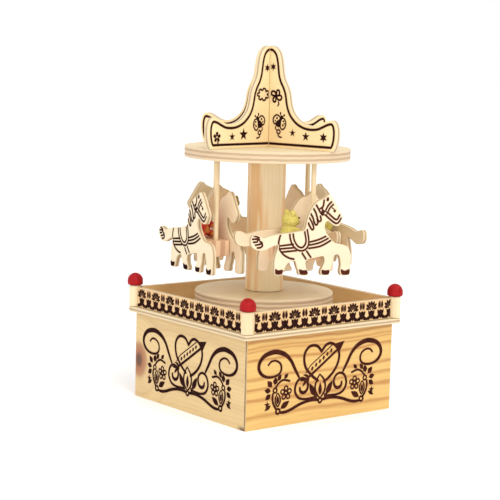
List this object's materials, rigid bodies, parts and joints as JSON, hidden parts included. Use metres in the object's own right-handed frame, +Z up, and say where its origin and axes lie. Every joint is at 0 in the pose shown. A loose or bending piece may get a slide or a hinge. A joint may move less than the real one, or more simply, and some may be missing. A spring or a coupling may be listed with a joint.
{
  "type": "carousel music box",
  "caption": "Wooden wind-up music box with a turning carousel of paired horse boards under a crossed crown, on a fenced square box.",
  "frame": {"origin": "middle of the square at the underside of the box, on the carousel's axis", "axes": "+Z up along the carousel's axis, +X to the right and -Y to the front panel"},
  "size_m": [0.1098, 0.1098, 0.195],
  "materials": {
    "pine_front": "bare planed pine, orange-brown grain lines",
    "pine_side": "bare planed pine, pale, one knot",
    "birch_ply": "bare birch plywood, plies showing at the edges",
    "horse_ply": "pale birch plywood with burnt line ornament",
    "crown_ply": "warm birch plywood with burnt line ornament",
    "dowel": "bare turned wood",
    "seat_wood": "pinkish plywood block",
    "red_paint": "turned wood in glossy red paint",
    "rider_front": "painted moulded figure, mustard yellow",
    "rider_right": "painted moulded figure, olive and yellow",
    "rider_back": "painted moulded figure, orange-brown",
    "rider_left": "painted moulded figure, red",
    "steel": "bright steel",
    "brass": "turned and cut brass",
    "zinc": "die-cast grey metal"
  },
  "bodies": {
    "box": {"panel_front": "pine_front", "panel_right": "pine_side", "panel_back": "pine_front", "panel_left": "pine_side", "base_board": "birch_ply", "base_screw_front": "steel", "base_screw_right": "steel", "base_screw_back": "steel", "base_screw_left": "steel", "platform": "birch_ply", "fence_front": "birch_ply", "fence_right": "birch_ply", "fence_back": "birch_ply", "fence_left": "birch_ply", "post_front_left": "dowel", "cap_front_left": "red_paint", "post_front_right": "dowel", "cap_front_right": "red_paint", "post_back_right": "dowel", "cap_back_right": "red_paint", "post_back_left": "dowel", "cap_back_left": "red_paint", "movement_bedplate": "zinc", "movement_screw_1": "steel", "movement_screw_2": "steel", "movement_screw_3": "steel", "spring_housing": "brass", "mainspring": "steel", "comb": "steel", "governor_frame": "steel"},
    "carousel": {"turntable": "birch_ply", "column": "dowel", "canopy_disc": "birch_ply", "pole_front": "dowel", "seat_front": "seat_wood", "horse_outer_front": "horse_ply", "horse_inner_front": "horse_ply", "rider_front": "rider_front", "pole_right": "dowel", "seat_right": "seat_wood", "horse_outer_right": "horse_ply", "horse_inner_right": "horse_ply", "rider_right": "rider_right", "pole_back": "dowel", "seat_back": "seat_wood", "horse_outer_back": "horse_ply", "horse_inner_back": "horse_ply", "rider_back": "rider_back", "pole_left": "dowel", "seat_left": "seat_wood", "horse_outer_left": "horse_ply", "horse_inner_left": "horse_ply", "rider_left": "rider_left", "crown_board_slot_up": "crown_ply", "crown_board_slot_down": "crown_ply", "crown_wheel_and_arbor": "brass", "turntable_hub": "brass"},
    "cylinder": {"pin_cylinder": "brass"},
    "governor_wheel_body": {"governor_wheel": "brass"},
    "fly": {"governor_fly": "brass"}
  },
  "joints": [
    {"name": "carousel_spin", "type": "hinge", "parent": "box", "child": "carousel", "pos_m": [0, 0, 0.05], "axis": [0, 0, 1], "continuous": true},
    {"name": "cylinder_spin", "type": "hinge", "parent": "box", "child": "cylinder", "pos_m": [0.02, 0, 0.01745], "axis": [1, 0, 0], "continuous": true},
    {"name": "governor_wheel_spin", "type": "hinge", "parent": "box", "child": "governor_wheel_body", "pos_m": [0.0335, 0.0109, 0.01745], "axis": [1, 0, 0], "continuous": true},
    {"name": "fly_spin", "type": "hinge", "parent": "box", "child": "fly", "pos_m": [0.0357, 0.01745, 0.01745], "axis": [0, 0, 1], "continuous": true}
  ],
  "couplings": [
    {"joint": "cylinder_spin", "follows": "carousel_spin", "ratio": -2},
    {"joint": "governor_wheel_spin", "follows": "carousel_spin", "ratio": 4},
    {"joint": "fly_spin", "follows": "carousel_spin", "ratio": -48}
  ]
}
